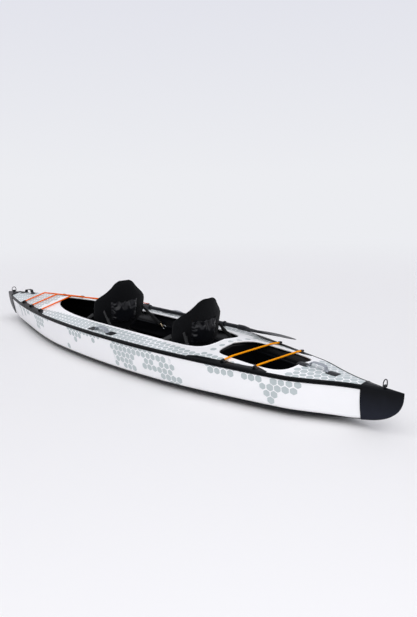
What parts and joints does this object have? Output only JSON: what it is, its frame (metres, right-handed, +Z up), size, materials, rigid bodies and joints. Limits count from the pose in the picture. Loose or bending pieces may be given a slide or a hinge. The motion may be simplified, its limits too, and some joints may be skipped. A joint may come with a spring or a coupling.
{
  "type": "tandem kayak",
  "caption": "Inflatable tandem kayak with a long open cockpit, folding fabric seats, a bungee-laced deck and storage well, end caps, tow rings and a take-apart paddle.",
  "frame": {"origin": "on the ground under the middle of the hull", "axes": "+X to the bow, +Y to port, +Z up"},
  "size_m": [4.27, 0.8222, 0.5647],
  "materials": {
    "white_pvc": "satin coated fabric",
    "black_pvc": "satin coated fabric",
    "cap_plastic": "satin moulded",
    "fitting_plastic": "satin moulded",
    "seat_fabric": "matt woven",
    "pocket_fabric": "matt ripstop",
    "black_webbing": "woven webbing",
    "grey_webbing": "woven webbing",
    "orange_cord": "braided",
    "ring_steel": "polished",
    "hook_metal": "plated",
    "paddle_shaft": "black anodised",
    "paddle_blade": "satin moulded",
    "orange_plastic": "satin moulded"
  },
  "bodies": {
    "hull": {"floor_chamber": "black_pvc", "port_side_chamber": "white_pvc", "starboard_side_chamber": "white_pvc", "foredeck": "white_pvc", "aft_deck": "white_pvc", "port_side_deck": "white_pvc", "starboard_side_deck": "white_pvc", "bridge_deck": "white_pvc", "bulkhead": "black_pvc", "bow_cap": "cap_plastic", "stern_cap": "cap_plastic", "port_rub_rail": "black_pvc", "starboard_rub_rail": "black_pvc", "skeg_box": "cap_plastic", "valve_bodies": "fitting_plastic", "drain_port": "fitting_plastic", "ring_lugs": "cap_plastic", "handle_patches": "black_pvc", "deck_handles": "black_webbing", "side_handles": "grey_webbing", "fore_tab_strips": "black_pvc", "aft_tab_strips": "black_pvc", "fore_bungees": "orange_cord", "aft_bungees": "orange_cord", "seat_anchor_tabs": "black_pvc", "seat_anchor_rings": "ring_steel", "front_seat_base": "seat_fabric", "rear_seat_base": "seat_fabric", "front_seat_straps": "black_webbing", "rear_seat_straps": "black_webbing", "front_strap_sliders": "fitting_plastic", "rear_strap_sliders": "fitting_plastic", "strap_hooks": "hook_metal"},
    "front_back": {"front_backrest": "seat_fabric", "front_pocket": "pocket_fabric"},
    "rear_back": {"rear_backrest": "seat_fabric", "rear_pocket": "pocket_fabric"},
    "bow_ring": {"bow_ring": "cap_plastic"},
    "stern_ring": {"stern_ring": "cap_plastic"},
    "floor_valve_cap": {"floor_valve_cap": "fitting_plastic"},
    "port_valve_cap": {"port_valve_cap": "fitting_plastic"},
    "starboard_valve_cap": {"starboard_valve_cap": "fitting_plastic"},
    "drain_plug": {"drain_plug": "fitting_plastic"},
    "paddle": {"paddle_blade_aft": "paddle_blade", "paddle_shaft": "paddle_shaft", "paddle_clamp": "paddle_shaft"},
    "clamp_lever": {"clamp_lever": "orange_plastic"},
    "upper_paddle": {"paddle_upper_shaft": "paddle_shaft", "paddle_blade_fore": "paddle_blade"}
  },
  "joints": [
    {"name": "front_back_fold", "type": "hinge", "parent": "hull", "child": "front_back", "pos_m": [0.262, 0, 0.1416], "axis": [0, 1, 0], "range_deg": [-10, 65], "deforming": ["front_seat_straps", "front_strap_sliders"]},
    {"name": "rear_back_fold", "type": "hinge", "parent": "hull", "child": "rear_back", "pos_m": [-0.635, 0, 0.1416], "axis": [0, 1, 0], "range_deg": [-10, 65], "deforming": ["rear_seat_straps", "rear_strap_sliders"]},
    {"name": "bow_ring_swing", "type": "hinge", "parent": "hull", "child": "bow_ring", "pos_m": [2.025, 0, 0.2655], "axis": [0, 1, 0], "range_deg": [-75, 75]},
    {"name": "stern_ring_swing", "type": "hinge", "parent": "hull", "child": "stern_ring", "pos_m": [-2.025, 0, 0.25736], "axis": [0, 1, 0], "range_deg": [-75, 75]},
    {"name": "floor_valve_turn", "type": "hinge", "parent": "hull", "child": "floor_valve_cap", "pos_m": [0.93, 0, 0.085], "axis": [0, 0, 1], "range_deg": [0, 90]},
    {"name": "port_valve_turn", "type": "hinge", "parent": "hull", "child": "port_valve_cap", "pos_m": [0.86, 0.23001, 0.18158], "axis": [-0.0647, -0.9979, 0], "range_deg": [0, 90]},
    {"name": "starboard_valve_turn", "type": "hinge", "parent": "hull", "child": "starboard_valve_cap", "pos_m": [0.86, -0.23001, 0.18158], "axis": [-0.0647, 0.9979, 0], "range_deg": [0, 90]},
    {"name": "drain_plug_pull", "type": "slide", "parent": "hull", "child": "drain_plug", "axis": [0, 0, 1], "range_m": [0, 0.025]},
    {"name": "paddle_lift", "type": "slide", "parent": "hull", "child": "paddle", "axis": [0, 0, 1], "range_m": [0, 0.25]},
    {"name": "clamp_lever_open", "type": "hinge", "parent": "paddle", "child": "clamp_lever", "pos_m": [0.322, -0.312, 0.31818], "axis": [0, -1, 0], "range_deg": [0, 120]},
    {"name": "paddle_extend", "type": "slide", "parent": "paddle", "child": "upper_paddle", "axis": [1, 0, 0], "range_m": [-0.035, 0.04]}
  ]
}
